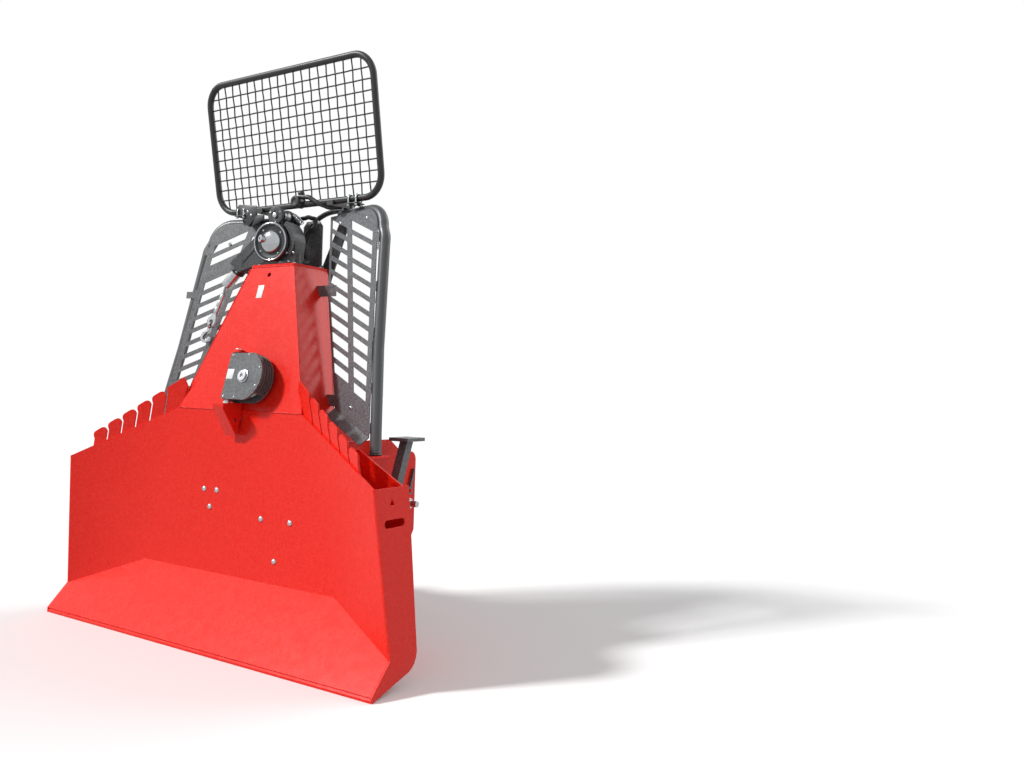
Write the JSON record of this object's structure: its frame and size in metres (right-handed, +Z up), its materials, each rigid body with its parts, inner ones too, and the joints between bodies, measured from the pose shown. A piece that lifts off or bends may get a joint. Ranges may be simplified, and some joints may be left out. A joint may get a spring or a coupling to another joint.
{
  "type": "tractor forestry winch",
  "caption": "Rear-mounted forestry winch with a folded dozer blade, rope drum, guide tower, swivelling pulley head, swing-out lower pulley, side shields and a guard net.",
  "frame": {"origin": "middle of the footprint's bounding box, on the ground", "axes": "+Z up, +Y towards the tractor, +X to the right as seen from behind the load"},
  "size_m": [2, 0.748, 2.5652],
  "materials": {
    "painted_red": "glossy red paint",
    "painted_grey": "satin dark grey paint",
    "painted_black": "satin black paint",
    "zinc_plated": "bright zinc plating",
    "bare_steel": "machined and worn steel",
    "cast_grey": "dark grey cast metal",
    "wire_rope": "bare stranded wire",
    "guard_plastic": "matte black plastic"
  },
  "bodies": {
    "winch_frame": {"blade": "painted_red", "side_wall_right": "painted_red", "side_wall_left": "painted_red", "back_wall_right": "painted_red", "back_wall_left": "painted_red", "chain_comb_right": "painted_red", "chain_comb_left": "painted_red", "tower": "painted_red", "tower_cap": "painted_red", "housing_side_right": "painted_red", "housing_side_left": "painted_red", "front_cover": "painted_red", "hitch_plate_right": "painted_red", "hitch_plate_left": "painted_red", "lower_beam": "painted_red", "upper_beam": "painted_red", "top_link_bracket": "painted_red", "lower_bracket": "painted_red", "shield_panel_right": "painted_grey", "shield_panel_left": "painted_grey", "shield_tube_right": "painted_grey", "shield_tube_left": "painted_grey", "net_frame": "painted_black", "net_mesh": "painted_black", "net_support": "painted_black", "oil_tank": "painted_black", "top_link_pin": "zinc_plated", "lower_link_pin_right": "zinc_plated", "lower_link_pin_left": "zinc_plated", "swivel_flange": "zinc_plated", "lower_pulley_pin": "zinc_plated", "cutting_edge": "bare_steel", "rear_bearing": "cast_grey", "valve_block": "cast_grey", "pto_guard": "guard_plastic"},
    "pulley_head": {"head_housing": "cast_grey", "sheave_axle": "bare_steel", "hub_ring": "painted_black", "hub_cap": "zinc_plated", "feed_plate": "cast_grey", "feed_motor": "painted_black"},
    "upper_sheave": {"rope_sheave": "bare_steel"},
    "rope_feeder": {"feed_roller": "bare_steel"},
    "outlet": {"outlet_arm": "cast_grey", "outlet_nozzle": "zinc_plated"},
    "rope_tail": {"rope_end": "wire_rope", "rope_ferrule": "zinc_plated", "rope_thimble": "zinc_plated", "end_hook": "zinc_plated"},
    "lower_pulley": {"pulley_block": "painted_black", "lower_sheave_bolt": "zinc_plated"},
    "lower_wheel": {"lower_sheave": "bare_steel"},
    "rope_drum": {"drum": "bare_steel", "drum_rope": "wire_rope", "gear_wheel": "bare_steel"},
    "input_shaft": {"drive_pinion": "bare_steel"},
    "leg_right": {"parking_leg_right": "painted_grey"},
    "leg_left": {"parking_leg_left": "painted_grey"},
    "lever_right": {"lock_lever_right": "painted_grey"},
    "lever_left": {"lock_lever_left": "painted_grey"}
  },
  "joints": [
    {"name": "head_swivel", "type": "hinge", "parent": "winch_frame", "child": "pulley_head", "pos_m": [0, 0.136, 1.67], "axis": [0, 0, 1], "range_deg": [0, 150]},
    {"name": "arm_tilt", "type": "hinge", "parent": "pulley_head", "child": "outlet", "pos_m": [-0.0689, 0.1238, 1.7696], "axis": [-0.1736, 0.9848, 0], "range_deg": [0, 35]},
    {"name": "rope_swing", "type": "hinge", "parent": "outlet", "child": "rope_tail", "pos_m": [-0.3485, 0.0745, 1.585], "axis": [-0.1736, 0.9848, 0], "range_deg": [-35, 0]},
    {"name": "drum_spin", "type": "hinge", "parent": "winch_frame", "child": "rope_drum", "pos_m": [0, 0.054, 0.56], "axis": [0, 1, 0], "continuous": true},
    {"name": "input_spin", "type": "hinge", "parent": "winch_frame", "child": "input_shaft", "pos_m": [0, 0.3, 0.3756], "axis": [0, 1, 0], "continuous": true},
    {"name": "sheave_spin", "type": "hinge", "parent": "pulley_head", "child": "upper_sheave", "pos_m": [-0.0689, 0.1238, 1.7696], "axis": [-0.1736, 0.9848, 0], "continuous": true},
    {"name": "feeder_spin", "type": "hinge", "parent": "pulley_head", "child": "rope_feeder", "pos_m": [-0.0532, 0.1266, 1.8926], "axis": [-0.1736, 0.9848, 0], "continuous": true},
    {"name": "lower_pulley_swing", "type": "hinge", "parent": "winch_frame", "child": "lower_pulley", "pos_m": [-0.008, -0.1675, 1.136], "axis": [0, -0.2588, -0.9659], "range_deg": [0, 90]},
    {"name": "lower_wheel_spin", "type": "hinge", "parent": "lower_pulley", "child": "lower_wheel", "pos_m": [0.088, -0.1607, 1.1342], "axis": [0, -0.9659, 0.2588], "continuous": true},
    {"name": "leg_fold_right", "type": "hinge", "parent": "winch_frame", "child": "leg_right", "pos_m": [0.7, 0.009, 0.47], "axis": [-1, 0, 0], "range_deg": [0, 160]},
    {"name": "leg_fold_left", "type": "hinge", "parent": "winch_frame", "child": "leg_left", "pos_m": [-0.7, 0.009, 0.47], "axis": [-1, 0, 0], "range_deg": [0, 160]},
    {"name": "lock_right", "type": "hinge", "parent": "winch_frame", "child": "lever_right", "pos_m": [0.608, 0.306, 0.658], "axis": [1, 0, 0], "range_deg": [0, 75]},
    {"name": "lock_left", "type": "hinge", "parent": "winch_frame", "child": "lever_left", "pos_m": [-0.608, 0.306, 0.658], "axis": [1, 0, 0], "range_deg": [0, 75]}
  ],
  "couplings": [
    {"joint": "rope_swing", "follows": "arm_tilt", "ratio": -1},
    {"joint": "input_spin", "follows": "drum_spin", "ratio": -3.6},
    {"joint": "sheave_spin", "follows": "drum_spin", "ratio": 1.8507},
    {"joint": "feeder_spin", "follows": "drum_spin", "ratio": -3.6699}
  ]
}
